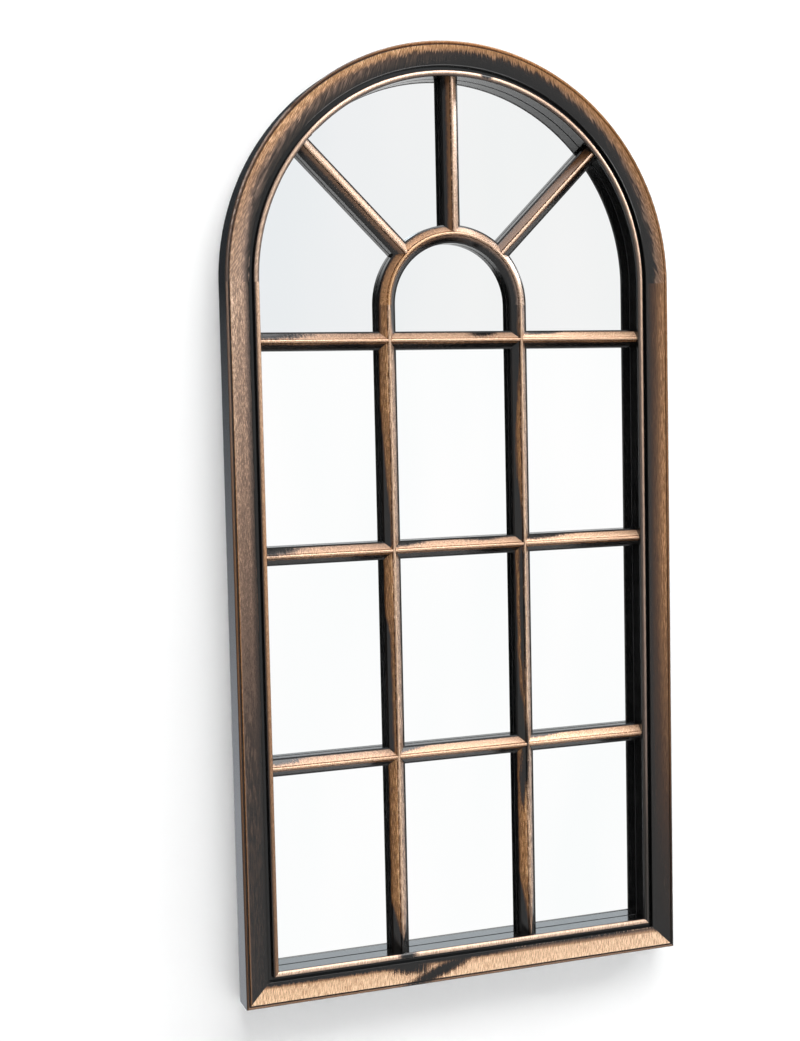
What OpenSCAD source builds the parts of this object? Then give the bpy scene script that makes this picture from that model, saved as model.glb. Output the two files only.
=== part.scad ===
// Arched window mirror for a garden wall.
// X runs across the mirror, Y into the wall and Z up. The origin is the middle of the frame's
// bottom edge, on the plane of the frame's back.
// Every piece is drawn lying on its back, with X across, Y up the mirror and Z towards the
// viewer, and stand() sets it upright.

/* [Overall] */
// Outer width of the frame, twice the outer radius of its arch
frame_width = 500; // [400:10:600]
// Outer height of the frame
frame_height = 1000; // [860:10:1200]
// Depth of the frame moulding, back to front
frame_depth = 30; // [28:0.5:36]

/* [Frame moulding] */
// Width of the broad face, from the outer groove to the inner fillet
face_width = 19.4; // [16:0.2:26]
// How far the broad face falls towards the glass
face_drop = 3.4; // [1.5:0.1:4.5]
// Hollow of the broad face at its middle
face_hollow = 0.7; // [0.3:0.05:1.2]
// Radius of the bead along the outer edge
edge_bead_r = 1.5; // [1.2:0.1:1.8]
// How far the outer edge bead lies below the front
edge_bead_drop = 0.5; // [0.2:0.1:1]
// Width of the groove inside the outer edge bead
edge_groove_w = 1.6; // [1.2:0.1:2.4]
// Radius of the thin fillet at the inner edge of the face
fillet_r = 0.6; // [0.4:0.05:0.8]
// Width of the deep groove beside the inner bead
deep_groove_w = 4.3; // [3:0.1:6]
// Depth of the deep groove below the fillet
deep_groove_depth = 3.8; // [2:0.1:6]
// Radius of the inner bead
inner_bead_r = 3.2; // [2.6:0.1:4]
// How far the top of the inner bead lies below the front
inner_bead_drop = 1.1; // [0.6:0.1:2]
// How far the inner bead stands over the inner wall
bead_overhang = 0.6; // [0.2:0.1:1]
// Width of the rebate that the glass lies in
rebate_w = 7.8; // [6:0.2:10]

/* [Glass and back] */
// Thickness of the mirror glass
glass_t = 3; // [2:0.5:4]
// Gap between the glass or the board and the rebate wall
glass_gap = 1; // [0.5:0.1:1.5]
// Thickness of the bedding tape in front of the glass
tape_t = 1.2; // [0.8:0.1:1.6]
// How far the tape stays back from the edges that it lies under
tape_inset = 0.35; // [0.2:0.05:0.6]
// Thickness of the back board
board_t = 2.5; // [2:0.5:3]
// How far the board lies inside the frame's back
board_recess = 1; // [0.8:0.1:1.4]

/* [Glazing bars] */
// Width of a bar at the glass
bar_w = 19.2; // [16:0.2:23]
// Height of a bar above its tape
bar_h = 17.4; // [15.8:0.2:18]
// Height of the upright sides of a bar
bar_side_h = 8; // [6:0.2:9]
// Step between the upright sides and the slopes
bar_step = 1.8; // [1.2:0.1:2.6]
// Height of the slope's foot above the upright sides
bar_step_h = 0.6; // [0.3:0.1:1]
// Radius of the round crest of a bar
crest_r = 1.5; // [1.2:0.1:1.8]
// Depth of the fine quirk on each side of the crest
quirk_depth = 0.7; // [0.3:0.05:0.8]

/* [Layout of the bars] */
// Distance from the middle to each mullion
mullion_x = 75; // [60:1:90]
// Height of the lowest transom
low_transom_z = 249; // [200:1:290]
// Distance from the spring of the arch down to the top transom
top_transom_drop = 60; // [40:1:90]
// Height of the small arch's centre above the top transom
arch_stilt = 37; // [25:1:50]
// Angle between the spokes of the fan
spoke_angle = 45; // [35:1:52]

/* [Rear channel and keys] */
// Distance of the channel in the frame's back from the outer edge
channel_inset = 8; // [7:0.5:9]
// Width of the land between the channel and the rebate, which the board clips stand on
clip_land_w = 7.5; // [7:0.1:8.5]
// Depth of the channel in the open bays
bay_depth = 15; // [12:0.5:18]
// Longest open bay of the channel
bay_length = 84; // [50:2:90]
// Width of the ribs between the bays
rib_w = 6; // [4:0.5:10]
// Depth of the channel where a key lies
key_seat_depth = 8.5; // [7:0.5:10]
// Thickness of a key
key_t = 6; // [5:0.5:7]
// Length of each arm of a key
key_arm = 56; // [46:1:70]
// Side clearance of a key in the channel
key_fit = 0.15; // [0.05:0.05:0.3]
// Distance of a key's screws from its arm's end
key_screw_end = 9; // [7:1:12]
// Distance between the two screws of one arm
key_screw_pitch = 24; // [18:1:28]

/* [Screws] */
// Shank radius of the wood screws
shank_r = 1.6; // [1.25:0.05:1.8]
// Head radius of the wood screws
head_r = 3.1; // [2.6:0.1:3.4]
// Height of the screw heads
head_h = 1.9; // [1.5:0.1:2.2]
// Length of a screw below its head
screw_length = 14; // [10:0.5:16]
// Width of one wing of the cross recess
recess_w = 0.9; // [0.6:0.05:1.2]
// Radial clearance round a screw shank
shank_gap = 0.05; // [0.02:0.01:0.1]
// Radial clearance of the holes in plates
plate_hole_gap = 0.3; // [0.1:0.05:0.4]

/* [Board clips] */
// Sheet thickness of a clip
clip_t = 1.2; // [0.8:0.1:1.5]
// Width of a clip
clip_w = 14; // [10:0.5:18]
// Gap between a clip's bend and the wall of the rebate
clip_bend_gap = 0.4; // [0.3:0.1:0.8]
// Reach of the clip's tongue past the wall of the rebate
clip_reach = 13; // [10:0.5:18]
// Number of clips along each stile
stile_clips = 3; // [2:1:4]
// Number of clips round the arch
arch_clips = 4; // [3:1:5]

/* [Hangers] */
// Distance from the spring of the arch down to the hinge line of the hanger rings
hanger_drop = 80; // [76:1:110]
// Width of a hanger strap
strap_w = 12; // [11:0.5:14]
// Sheet thickness of a hanger strap
strap_t = 1.2; // [1:0.1:1.5]
// Corner radius of a strap's foot
strap_corner_r = 3; // [1:0.5:5]
// Length of a strap below the hinge line
strap_length = 45; // [40:1:50]
// Distance of the first screw below the hinge line
strap_screw_top = 14; // [12:1:16]
// Distance between the two screws of a strap
strap_screw_pitch = 21; // [16:1:24]
// Wire radius of a hanger ring
ring_wire_r = 1.2; // [1:0.1:1.4]
// Half width of a hanger ring at the middle of its wire
ring_half_w = 9.7; // [9.4:0.1:11]
// Length of the straight sides of a hanger ring
ring_side = 5; // [3:0.5:8]
// Running clearance of the ring's leg in its knuckle
ring_gap = 0.08; // [0.03:0.01:0.1]
// Play between a leaning ring and the frame's back
ring_rest_gap = 0.1; // [0.05:0.05:0.3]

/* [Wall buffers] */
// Radius of a wall buffer
buffer_r = 6; // [5:0.5:7]
// How far the buffers stand out past the knuckles of the hangers
buffer_past = 0.3; // [0.2:0.1:2]
// Chamfer round a buffer's face
buffer_chamfer = 1; // [0.5:0.1:1.5]
// Angle of the upper buffers on the arch, from the level
buffer_angle = 62; // [60:0.5:64]

/* [Hidden] */
// Small clearance between pieces that are cut to fit each other
fit_gap = 0.1;
// Overshoot of cutting shapes, in millimetres and in degrees
cut = 1;
// Width of the sloping inner side of the edge groove
groove_slope = 0.6;
// Narrow flat on each side of the thin fillet
fillet_land = 0.15;
// Margin of a clip's foot on its land, and of the solid pad round a buffer
foot_margin = 0.3;
pad_margin = 1;
// Height that clears every piece in front of or behind the frame
clear_h = 2 * frame_depth;
// Facets of the large arcs and of the small rounds
arc_fn = 180;
round_fn = 48;
wire_fn = 24;

outer_r = frame_width / 2;
spring_s = frame_height - outer_r;

// Places across the moulding, counted from the outer edge
face_start = 2 * edge_bead_r + edge_groove_w;
face_end = face_start + face_width;
fillet_center = face_end + fillet_land + fillet_r;
groove_start = fillet_center + fillet_r + fillet_land;
bead_web_start = groove_start + deep_groove_w;
bead_center = bead_web_start + inner_bead_r - bead_overhang / 2;
wall_u = bead_center + inner_bead_r - bead_overhang;
rebate_u = wall_u - rebate_w;
glass_u = rebate_u + glass_gap;

// Heights above the frame's back
board_back_v = board_recess;
glass_back_v = board_back_v + board_t;
glass_front_v = glass_back_v + glass_t;
lip_v = glass_front_v + tape_t;
face_end_v = frame_depth - face_drop;
edge_bead_v = frame_depth - edge_bead_drop - edge_bead_r;
deep_groove_v = face_end_v - deep_groove_depth;
inner_bead_v = frame_depth - inner_bead_drop - inner_bead_r;

// The hollow of the face is one arc through the two ends of the face
face_chord = norm([face_width, face_drop]);
hollow_r = face_chord * face_chord / (8 * face_hollow) + face_hollow / 2;
face_dir = [face_width, -face_drop] / face_chord;
face_mid = [face_start + face_width / 2, frame_depth - face_drop / 2];
hollow_center = face_mid + (hollow_r - face_hollow) * [-face_dir[1], face_dir[0]];

// Height at which the inner bead leaves the inner wall
bead_foot_v = inner_bead_v - sqrt(pow(inner_bead_r, 2) - pow(inner_bead_r - bead_overhang, 2)) - fit_gap;

bar_half = bar_w / 2;
slope_foot = bar_half - bar_step;
slope_foot_v = bar_side_h + bar_step_h;
crest_v = bar_h - crest_r;
quirk_v = crest_v - quirk_depth;
slope_top = crest_r + quirk_depth;
slope_top_v = quirk_v - quirk_depth / 2;
quirk_bottom_v = slope_top_v - quirk_depth;

top_transom_s = spring_s - top_transom_drop;
transom_s = [low_transom_z, (low_transom_z + top_transom_s) / 2, top_transom_s];
arch_center_s = top_transom_s + arch_stilt;

channel_w = rebate_u - clip_land_w - channel_inset;
channel_mid = channel_inset + channel_w / 2;
channel_path_r = outer_r - channel_mid;
key_w = channel_w - 2 * key_fit;
key_back_v = key_seat_depth - key_t;
key_seat_end = key_arm + key_fit;
key_screws_at = [key_arm - key_screw_end, key_arm - key_screw_end - key_screw_pitch];

crown_r = 0.7 * head_r;
recess_r = 0.6 * head_r;
recess_depth = 0.6 * head_h;
tip_r = shank_r / 4;
tip_h = 2 * shank_r;

knuckle_r = ring_wire_r + ring_gap + strap_t;
ring_reach = ring_side + ring_half_w;
ring_lean = asin((knuckle_r - ring_wire_r - ring_rest_gap) / ring_reach);
hanger_x = outer_r - channel_mid;
hanger_s = spring_s - hanger_drop;
strap_pad_low = hanger_s - strap_length - rib_w;
strap_screws_at = [for (k = [0:1]) strap_screw_top + k * strap_screw_pitch];

clip_foot = clip_land_w - foot_margin;
clip_screw_u = rebate_u - clip_foot / 2;

buffer_h = 2 * knuckle_r + buffer_past;
buffer_pad = 2 * (buffer_r + pad_margin);
buffer_end = channel_mid + key_seat_end + buffer_pad / 2;
buffer_run = buffer_angle / 180 * PI * channel_path_r;

// Sets a piece upright that was drawn on its back
module stand() { rotate([90, 0, 0]) children(); }

// Draws a piece and its mirror image
module both_sides() {
  children();
  mirror([1, 0, 0]) children();
}

// Runs a section in (u, v) up the left side, from height from_s to height to_s
module run_up_left(from_s, to_s) {
  translate([-outer_r, to_s, 0]) rotate([90, 0, 0]) linear_extrude(to_s - from_s) children();
}

// Runs a section in (u, v) along the bottom, between two places across
module run_along_bottom(from_x, to_x) {
  translate([from_x, 0, 0]) rotate([90, 0, 90]) linear_extrude(to_x - from_x) children();
}

// Runs a section in (u, v) round the arch, between two angles from the level on the right
module run_round_arch(from_a, to_a) {
  translate([0, spring_s, 0]) rotate([0, 0, from_a - 180])
    rotate_extrude(angle = to_a - from_a, $fn = arc_fn) translate([-outer_r, 0]) children();
}

// Frame moulding: rebate, inner wall, inner bead, deep groove, fillet, hollow face, groove,
// edge bead and outer wall
module frame_section() {
  difference() {
    polygon([
      [0, 0], [rebate_u, 0], [rebate_u, lip_v], [wall_u, lip_v], [wall_u, inner_bead_v],
      [bead_web_start, inner_bead_v], [bead_web_start, deep_groove_v],
      [groove_start, deep_groove_v], [groove_start, face_end_v], [face_end, face_end_v],
      [face_start, frame_depth], [face_start - groove_slope, edge_bead_v], [0, edge_bead_v]
    ]);
    // the hollow, an arc from edge to edge of the face
    intersection() {
      translate(hollow_center) circle(r = hollow_r, $fn = 720);
      translate([0, deep_groove_v]) square([face_end, frame_depth]);
    }
  }
  translate([bead_center, inner_bead_v]) circle(r = inner_bead_r, $fn = round_fn);
  translate([fillet_center, face_end_v]) circle(r = fillet_r, $fn = round_fn);
  translate([edge_bead_r, edge_bead_v]) circle(r = edge_bead_r, $fn = round_fn);
}

// Glazing bar: upright sides, a step, two slopes, a quirk on each side and the round crest
module bar_section() {
  half = [
    [bar_half, 0], [bar_half, bar_side_h], [slope_foot, slope_foot_v],
    [slope_top, slope_top_v], [crest_r, quirk_bottom_v], [crest_r, crest_v]
  ];
  polygon(concat(half, [for (i = [len(half) - 1:-1:0]) [-half[i][0], half[i][1]]]));
  translate([0, crest_v]) circle(r = crest_r, $fn = round_fn);
}

// What a bar that meets another is scribed to: the other's section, its quirks filled
module scribe_section() {
  half = [
    [bar_half, -cut], [bar_half, bar_side_h], [slope_foot, slope_foot_v],
    [slope_top, slope_top_v], [crest_r, crest_v], [crest_r, bar_h + cut]
  ];
  polygon(concat(half, [for (i = [len(half) - 1:-1:0]) [-half[i][0], half[i][1]]]));
}

// Outline of the frame's inside at a distance u from its outer edge, with a flat foot
module inside_outline(u) {
  translate([-(outer_r - u), u]) square([2 * (outer_r - u), spring_s - u]);
  translate([0, spring_s]) circle(r = outer_r - u, $fn = arc_fn);
}

// Rear channel section, from the outer edge
module channel_section(depth) {
  translate([channel_inset, -cut]) square([channel_w, depth + cut]);
}

// Open bays of the channel, evenly spaced with a rib between neighbours
function bay_count(from, to) = ceil((to - from + rib_w) / (bay_length + rib_w));
function bay_size(from, to) = (to - from + rib_w) / bay_count(from, to) - rib_w;
function bays(from, to) = [
  for (k = [0:bay_count(from, to) - 1]) from + k * (bay_size(from, to) + rib_w)
];

// Hole for a screw whose head seats at height seat_v
module pilot(at, seat_v) {
  translate([at[0], at[1], seat_v - cut])
    cylinder(r = shank_r + shank_gap, h = screw_length + cut, $fn = wire_fn);
}

// Angle that a length takes round the channel of the arch, and a point on the arch
function turn(length) = length / channel_path_r * 180 / PI;
function arch_point(r, a) = [r * cos(a), spring_s + r * sin(a)];

// Places of the screws
function corner_screws() = concat(
  [for (d = key_screws_at) [-outer_r + channel_mid, channel_mid + d]],
  [for (d = key_screws_at) [-outer_r + channel_mid + d, channel_mid]]);
function joint_screws() = concat(
  [for (d = key_screws_at) [-hanger_x, spring_s - d]],
  [for (d = key_screws_at) arch_point(channel_path_r, 180 - turn(d))]);
function strap_screws() = [for (d = strap_screws_at) [-hanger_x, hanger_s - d]];

// Places of the board clips: across, up, and the angle that each tongue points at
clip_r = outer_r - clip_screw_u;
stile_bays_from = channel_mid + key_seat_end + rib_w;
stile_clip_pitch = (strap_pad_low - stile_bays_from) / stile_clips;
clip_places = concat(
  [for (k = [0:stile_clips - 1], side = [-1, 1])
    [side * clip_r, stile_bays_from + (k + 0.5) * stile_clip_pitch, side < 0 ? 0 : 180]],
  [for (x = [-mullion_x, mullion_x]) [x, clip_screw_u, 90]],
  [for (k = [0:arch_clips - 1]) let (a = (k + 0.5) * 180 / arch_clips)
    [clip_r * cos(a), spring_s + clip_r * sin(a), a + 180]]);

// Screw that points away from the wall, its head's seat at height seat_v
module wood_screw(at, seat_v) {
  translate([at[0], at[1], seat_v]) difference() {
    union() {
      translate([0, 0, -head_h / 2]) cylinder(r = head_r, h = head_h / 2, $fn = round_fn);
      translate([0, 0, -head_h]) cylinder(r1 = crown_r, r2 = head_r, h = head_h / 2, $fn = round_fn);
      cylinder(r = shank_r, h = screw_length - tip_h, $fn = wire_fn);
      translate([0, 0, screw_length - tip_h])
        cylinder(r1 = shank_r, r2 = tip_r, h = tip_h - shank_gap, $fn = wire_fn);
    }
    for (wing = [0, 90]) rotate([0, 0, wing])
      translate([-recess_r, -recess_w / 2, -head_h - cut])
        cube([2 * recess_r, recess_w, recess_depth + cut]);
  }
}

// The left stile, mitred at its foot
module stile_body() {
  difference() {
    run_up_left(0, spring_s) frame_section();
    translate([-outer_r, 0, -cut]) rotate([0, 0, 45])
      translate([-cut, -2 * outer_r, 0]) cube([2 * outer_r, 2 * outer_r, clear_h]);
    run_up_left(0, channel_mid + key_seat_end) channel_section(key_seat_depth);
    run_up_left(spring_s - key_seat_end, spring_s + cut) channel_section(key_seat_depth);
    for (from = bays(stile_bays_from, strap_pad_low))
      run_up_left(from, from + bay_size(stile_bays_from, strap_pad_low)) channel_section(bay_depth);
    for (at = concat(corner_screws(), joint_screws())) pilot(at, key_back_v);
    for (at = strap_screws()) pilot(at, -strap_t);
    for (place = clip_places) pilot(place, -clip_t);
  }
}

module stile_left() { color("#3d3330") stand() stile_body(); }
module stile_right() { color("#54423a") stand() mirror([1, 0, 0]) stile_body(); }

module bottom_rail() {
  bay_end = outer_r - buffer_end - buffer_pad / 2;
  color("#b08a6c") stand() difference() {
    run_along_bottom(-outer_r, outer_r) frame_section();
    both_sides() translate([-outer_r, 0, -cut]) rotate([0, 0, 45])
      translate([-cut, 0, 0]) cube([2 * outer_r, 2 * outer_r, clear_h]);
    both_sides() run_along_bottom(-outer_r, -outer_r + channel_mid + key_seat_end)
      channel_section(key_seat_depth);
    for (from = bays(-bay_end, bay_end))
      run_along_bottom(from, from + bay_size(-bay_end, bay_end)) channel_section(bay_depth);
    both_sides() for (at = corner_screws()) pilot(at, key_back_v);
    for (place = clip_places) pilot(place, -clip_t);
  }
}

module arch_head() {
  // the bays, measured round the channel, leave a pad under each buffer
  whole = PI * channel_path_r;
  spans = [
    [key_seat_end + rib_w, buffer_run - buffer_pad / 2],
    [buffer_run + buffer_pad / 2, whole - buffer_run - buffer_pad / 2],
    [whole - buffer_run + buffer_pad / 2, whole - key_seat_end - rib_w]
  ];
  color("#8d6c55") stand() difference() {
    run_round_arch(0, 180) frame_section();
    both_sides() run_round_arch(-cut, turn(key_seat_end)) channel_section(key_seat_depth);
    for (span = spans, from = bays(span[0], span[1]))
      run_round_arch(turn(from), turn(from + bay_size(span[0], span[1])))
        channel_section(bay_depth);
    both_sides() for (at = joint_screws()) pilot(at, key_back_v);
    for (place = clip_places) pilot(place, -clip_t);
  }
}

// Keys that lie on the floors of the rear channels
module key_section() {
  translate([channel_mid - key_w / 2, key_back_v]) square([key_w, key_t]);
}

module key_holes(places) {
  for (at = places)
    translate([at[0], at[1], key_back_v - cut])
      cylinder(r = shank_r + plate_hole_gap, h = key_t + 2 * cut, $fn = wire_fn);
}

module corner_key() {
  difference() {
    union() {
      run_up_left(channel_mid - key_w / 2, channel_mid + key_arm) key_section();
      run_along_bottom(-outer_r + channel_mid - key_w / 2, -outer_r + channel_mid + key_arm)
        key_section();
    }
    key_holes(corner_screws());
  }
}

module joint_key() {
  key_tip = arch_point(frame_width, 180 - turn(key_arm));
  difference() {
    translate([0, 0, key_back_v]) linear_extrude(key_t) intersection() {
      difference() {
        inside_outline(channel_mid - key_w / 2);
        inside_outline(channel_mid + key_w / 2);
      }
      polygon([
        [-frame_width, spring_s - key_arm], [0, spring_s - key_arm], [0, spring_s], key_tip
      ]);
    }
    key_holes(joint_screws());
  }
}

module corner_key_left() { color("#4a4a4c") stand() corner_key(); }
module corner_key_right() { color("#4a4a4c") stand() mirror([1, 0, 0]) corner_key(); }
module joint_key_left() { color("#4a4a4c") stand() joint_key(); }
module joint_key_right() { color("#4a4a4c") stand() mirror([1, 0, 0]) joint_key(); }

module key_screws() {
  color("#b9bbbd") stand() both_sides()
    for (at = concat(corner_screws(), joint_screws())) wood_screw(at, key_back_v);
}

// Runs a section on the tape, from one point to another along the ridge
module run_straight(from, to) {
  way = to - from;
  translate([from[0], from[1], lip_v]) rotate([0, 0, atan2(way[1], way[0])])
    rotate([90, 0, 90]) linear_extrude(norm(way)) children();
}

// Runs a section round the small arch
module run_small_arch() {
  translate([0, arch_center_s, lip_v])
    rotate_extrude(angle = 180, $fn = arc_fn) translate([mullion_x, 0]) children();
}

// Space inside the frame that the bars fill: out to the inner wall, and above that to the bead
module bar_space() {
  linear_extrude(bead_foot_v) inside_outline(wall_u);
  linear_extrude(clear_h) inside_outline(wall_u + bead_overhang + fit_gap);
}

// A straight bar along the ridge between two points, cut to the frame
module straight_bar(from, to) {
  intersection() {
    run_straight(from, to) bar_section();
    bar_space();
  }
}

module mullion_body() { straight_bar([-mullion_x, 0], [-mullion_x, arch_center_s]); }

// A transom between two places across, scribed to the mullions
module transom_body(row, from_x, to_x) {
  difference() {
    straight_bar([from_x, transom_s[row]], [to_x, transom_s[row]]);
    both_sides() run_straight([-mullion_x, 0], [-mullion_x, arch_center_s]) scribe_section();
  }
}

// A spoke of the fan, scribed to the small arch upright and then turned
module spoke_body(angle) {
  intersection() {
    translate([0, arch_center_s, 0]) rotate([0, 0, -angle]) translate([0, -arch_center_s, 0])
      difference() {
        run_straight([0, arch_center_s + mullion_x], [0, arch_center_s + frame_width]) bar_section();
        run_small_arch() scribe_section();
      }
    bar_space();
  }
}

module mullion_left() { color("#7d6150") stand() mullion_body(); }
module mullion_right() { color("#7d6150") stand() mirror([1, 0, 0]) mullion_body(); }

module transom(row, side) {
  color("#c59c7c") stand()
    if (side == 0) transom_body(row, -mullion_x, mullion_x);
    else mirror([side > 0 ? 1 : 0, 0, 0]) transom_body(row, -outer_r, -mullion_x);
}

module transom_top_left() { transom(2, -1); }
module transom_top_centre() { transom(2, 0); }
module transom_top_right() { transom(2, 1); }
module transom_middle_left() { transom(1, -1); }
module transom_middle_centre() { transom(1, 0); }
module transom_middle_right() { transom(1, 1); }
module transom_low_left() { transom(0, -1); }
module transom_low_centre() { transom(0, 0); }
module transom_low_right() { transom(0, 1); }

module inner_arch_bar() { color("#c59c7c") stand() run_small_arch() bar_section(); }
module spoke_left() { color("#7d6150") stand() spoke_body(-spoke_angle); }
module spoke_centre() { color("#7d6150") stand() spoke_body(0); }
module spoke_right() { color("#7d6150") stand() spoke_body(spoke_angle); }

module mirror_glass() {
  color("#dfe6ea") stand() translate([0, 0, glass_back_v])
    linear_extrude(glass_t) inside_outline(glass_u);
}

module rim_tape() {
  color("#1a1a1a") stand() translate([0, 0, glass_front_v]) linear_extrude(tape_t)
    difference() {
      inside_outline(glass_u);
      inside_outline(wall_u - tape_inset);
    }
}

// A strip of tape under a straight bar
module tape_strip(from, to) {
  way = to - from;
  half = bar_half - tape_inset;
  translate(from) rotate([0, 0, atan2(way[1], way[0])])
    translate([0, -half]) square([norm(way), 2 * half]);
}

module bar_tape() {
  color("#1a1a1a") stand() translate([0, 0, glass_front_v]) linear_extrude(tape_t)
    intersection() {
      inside_outline(wall_u + fit_gap);
      union() {
        for (x = [-mullion_x, mullion_x]) tape_strip([x, 0], [x, arch_center_s]);
        for (s = transom_s) tape_strip([-outer_r, s], [outer_r, s]);
        for (angle = [-spoke_angle, 0, spoke_angle])
          tape_strip([0, arch_center_s] + mullion_x * [sin(angle), cos(angle)],
            [0, arch_center_s] + frame_width * [sin(angle), cos(angle)]);
        translate([0, arch_center_s]) intersection() {
          difference() {
            circle(r = mullion_x + bar_half - tape_inset, $fn = arc_fn);
            circle(r = mullion_x - bar_half + tape_inset, $fn = arc_fn);
          }
          translate([-outer_r, 0]) square([frame_width, outer_r]);
        }
      }
    }
}

module back_board() {
  color("#232323") stand() translate([0, 0, board_back_v])
    linear_extrude(board_t) inside_outline(glass_u);
}

// Offset clip, its foot on the frame's back and its tongue on the board
module clip_body() {
  tongue_v = board_back_v - clip_t;
  bend = clip_foot + clip_bend_gap;
  difference() {
    translate([-clip_foot / 2, clip_w / 2, 0]) rotate([90, 0, 0])
      linear_extrude(clip_w) polygon([
        [0, -clip_t], [bend, -clip_t], [bend + board_recess, tongue_v],
        [clip_foot + clip_reach, tongue_v], [clip_foot + clip_reach, board_back_v],
        [bend, board_back_v], [bend, 0], [0, 0]
      ]);
    translate([0, 0, -clip_t - cut])
      cylinder(r = shank_r + plate_hole_gap, h = clip_t + 2 * cut, $fn = wire_fn);
  }
}

module board_clips() {
  color("#c2c4c6") stand() for (place = clip_places)
    translate([place[0], place[1], 0]) rotate([0, 0, place[2]]) clip_body();
}

module clip_screws() {
  color("#b9bbbd") stand() for (place = clip_places) wood_screw(place, -clip_t);
}

// Strap with a rolled knuckle that holds the ring's straight leg
module strap_body() {
  translate([-hanger_x, hanger_s, 0]) difference() {
    union() {
      translate([-strap_w / 2, -strap_length + strap_corner_r, -strap_t])
        cube([strap_w, strap_length - strap_corner_r, strap_t]);
      translate([-strap_w / 2 + strap_corner_r, -strap_length, -strap_t])
        cube([strap_w - 2 * strap_corner_r, strap_length, strap_t]);
      for (side = [-1, 1])
        translate([side * (strap_w / 2 - strap_corner_r), -strap_length + strap_corner_r, -strap_t])
          cylinder(r = strap_corner_r, h = strap_t, $fn = round_fn);
      translate([-strap_w / 2, 0, -knuckle_r]) rotate([0, 90, 0])
        cylinder(r = knuckle_r, h = strap_w, $fn = round_fn);
    }
    translate([-strap_w / 2 - cut, 0, -knuckle_r]) rotate([0, 90, 0])
      cylinder(r = ring_wire_r + ring_gap, h = strap_w + 2 * cut, $fn = round_fn);
    for (d = strap_screws_at) translate([0, -d, -strap_t - cut])
      cylinder(r = shank_r + plate_hole_gap, h = strap_t + 2 * cut, $fn = wire_fn);
  }
}

// Ring of round wire: straight leg, two sides and a half-round bow, leaning on the frame's back
module ring_body() {
  translate([-hanger_x, hanger_s, -knuckle_r]) rotate([ring_lean, 0, 0]) {
    translate([-ring_half_w, 0, 0]) rotate([0, 90, 0])
      cylinder(r = ring_wire_r, h = 2 * ring_half_w, $fn = wire_fn);
    both_sides() translate([ring_half_w, 0, 0]) {
      sphere(r = ring_wire_r, $fn = wire_fn);
      rotate([-90, 0, 0]) cylinder(r = ring_wire_r, h = ring_side, $fn = wire_fn);
    }
    translate([0, ring_side, 0]) rotate_extrude(angle = 180, $fn = 96)
      translate([ring_half_w, 0]) circle(r = ring_wire_r, $fn = wire_fn);
  }
}

module hanger_strap_left() { color("#c2c4c6") stand() strap_body(); }
module hanger_strap_right() { color("#c2c4c6") stand() mirror([1, 0, 0]) strap_body(); }
module hanger_ring_left() { color("#d3d5d7") stand() ring_body(); }
module hanger_ring_right() { color("#d3d5d7") stand() mirror([1, 0, 0]) ring_body(); }

module hanger_screws() {
  color("#b9bbbd") stand() both_sides() for (at = strap_screws()) wood_screw(at, -strap_t);
}

module buffer_body() {
  face_r = buffer_r - 2 * buffer_chamfer;
  rotate_extrude($fn = round_fn) polygon([
    [0, -buffer_h], [face_r, -buffer_h], [face_r + buffer_chamfer, -buffer_h + buffer_chamfer],
    [buffer_r, 0], [0, 0]
  ]);
}

module wall_buffers() {
  color("#202020") stand() both_sides() {
    translate([outer_r - buffer_end, channel_mid, 0]) buffer_body();
    translate(arch_point(channel_path_r, buffer_angle)) buffer_body();
  }
}

arch_head();
stile_left();
stile_right();
bottom_rail();
corner_key_left();
corner_key_right();
joint_key_left();
joint_key_right();
key_screws();
mullion_left();
mullion_right();
transom_top_left();
transom_top_centre();
transom_top_right();
transom_middle_left();
transom_middle_centre();
transom_middle_right();
transom_low_left();
transom_low_centre();
transom_low_right();
inner_arch_bar();
spoke_left();
spoke_centre();
spoke_right();
mirror_glass();
rim_tape();
bar_tape();
back_board();
board_clips();
clip_screws();
hanger_strap_left();
hanger_strap_right();
hanger_ring_left();
hanger_ring_right();
hanger_screws();
wall_buffers();
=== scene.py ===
"""The looks of an arched garden mirror shaped like a window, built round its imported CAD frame.

The moulded frame, its glazing bars, the mirror glass and the fixings on the back are the CAD nodes
themselves. This script gives each of them its finish, and adds the studio that the mirror hangs in.
"""
import logging
import math
from dataclasses import dataclass, field
from enum import Enum
from typing import Any, Mapping, Sequence

import bpy
from mathutils import Matrix, Vector

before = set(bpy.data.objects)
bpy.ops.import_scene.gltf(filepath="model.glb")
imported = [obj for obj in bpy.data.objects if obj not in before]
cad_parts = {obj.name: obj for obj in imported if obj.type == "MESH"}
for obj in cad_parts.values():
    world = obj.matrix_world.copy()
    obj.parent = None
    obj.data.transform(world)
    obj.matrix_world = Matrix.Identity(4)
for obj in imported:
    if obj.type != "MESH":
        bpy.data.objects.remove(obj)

LOG = logging.getLogger("arched_mirror")

MM_PER_M = 1000.0
WHITE = (1.0, 1.0, 1.0, 1.0)
Socket = bpy.types.NodeSocket
# The two ends of a range, or x and z of a place in the frame's plane
Pair = tuple[float, float]
# x, y and z
Triple = tuple[float, float, float]
# Distances in millimetres, in rising order, and the amount at each
Stops = Sequence[Pair]


def in_plane(place: Pair) -> Triple:
    """Gives x, y and z of a place or a way in the frame's plane."""
    return place[0], 0.0, place[1]


def level(amount: float) -> Stops:
    """Gives the stops of an amount that is the same everywhere."""
    return ((0.0, amount), (1.0, amount))


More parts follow.
